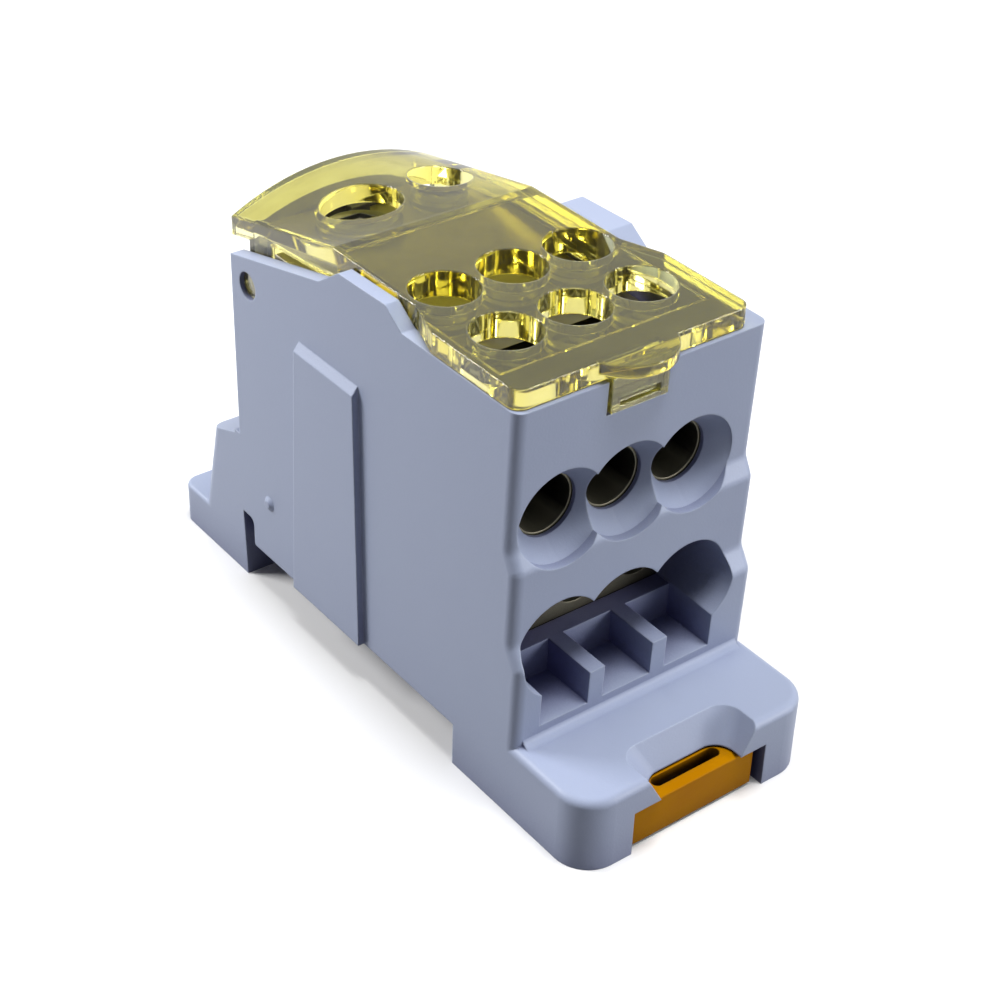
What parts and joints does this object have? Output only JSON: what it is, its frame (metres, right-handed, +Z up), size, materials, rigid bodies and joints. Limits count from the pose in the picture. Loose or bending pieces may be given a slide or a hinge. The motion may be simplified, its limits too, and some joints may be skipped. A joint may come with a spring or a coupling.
{
  "type": "power distribution block",
  "caption": "Rail-mounted power distribution block with a clear pierced hinged cover, screw clamps over funnelled wire entries and a sliding rail clip.",
  "frame": {"origin": "middle of the footprint, on the surface that the feet stand on", "axes": "+Z up through the cover, -Y towards the outgoing wires and the rail clip, +Y towards the incoming wires, +X to the right seen from -Y"},
  "size_m": [0.0284, 0.0674, 0.0434],
  "materials": {
    "housing_plastic": "fine satin moulding",
    "clear_plastic": "clear, glossy",
    "plated_brass": "dull tin plate",
    "clip_plastic": "satin moulding",
    "screw_steel": "zinc plate"
  },
  "bodies": {
    "base": {"housing": "housing_plastic", "terminal_block": "plated_brass"},
    "lid": {"cover": "clear_plastic"},
    "clip": {"rail_clip": "clip_plastic"},
    "front_screw_1_body": {"front_screw_1": "screw_steel"},
    "front_screw_2_body": {"front_screw_2": "screw_steel"},
    "front_screw_3_body": {"front_screw_3": "screw_steel"},
    "back_screw_1_body": {"back_screw_1": "screw_steel"},
    "back_screw_2_body": {"back_screw_2": "screw_steel"},
    "back_screw_3_body": {"back_screw_3": "screw_steel"},
    "large_input_screw_body": {"large_input_screw": "screw_steel"},
    "small_input_screw_body": {"small_input_screw": "screw_steel"}
  },
  "joints": [
    {"name": "cover_hinge", "type": "hinge", "parent": "base", "child": "lid", "pos_m": [0, 0.01815, 0.0346], "axis": [-1, 0, 0], "range_deg": [0, 85]},
    {"name": "clip_slide", "type": "slide", "parent": "base", "child": "clip", "axis": [0, -1, 0], "range_m": [0, 0.0026], "stiffness_N_per_m": 1500, "springref_m": -0.0005},
    {"name": "front_screw_1_travel", "type": "slide", "parent": "base", "child": "front_screw_1_body", "axis": [0, 0, -1], "range_m": [0, 0.0036]},
    {"name": "front_screw_2_travel", "type": "slide", "parent": "base", "child": "front_screw_2_body", "axis": [0, 0, -1], "range_m": [0, 0.0036]},
    {"name": "front_screw_3_travel", "type": "slide", "parent": "base", "child": "front_screw_3_body", "axis": [0, 0, -1], "range_m": [0, 0.0036]},
    {"name": "back_screw_1_travel", "type": "slide", "parent": "base", "child": "back_screw_1_body", "axis": [0, 0, -1], "range_m": [0, 0.003]},
    {"name": "back_screw_2_travel", "type": "slide", "parent": "base", "child": "back_screw_2_body", "axis": [0, 0, -1], "range_m": [0, 0.003]},
    {"name": "back_screw_3_travel", "type": "slide", "parent": "base", "child": "back_screw_3_body", "axis": [0, 0, -1], "range_m": [0, 0.003]},
    {"name": "large_input_screw_travel", "type": "slide", "parent": "base", "child": "large_input_screw_body", "axis": [0, 0, -1], "range_m": [0, 0.0068]},
    {"name": "small_input_screw_travel", "type": "slide", "parent": "base", "child": "small_input_screw_body", "axis": [0, 0, -1], "range_m": [0, 0.0042]}
  ]
}
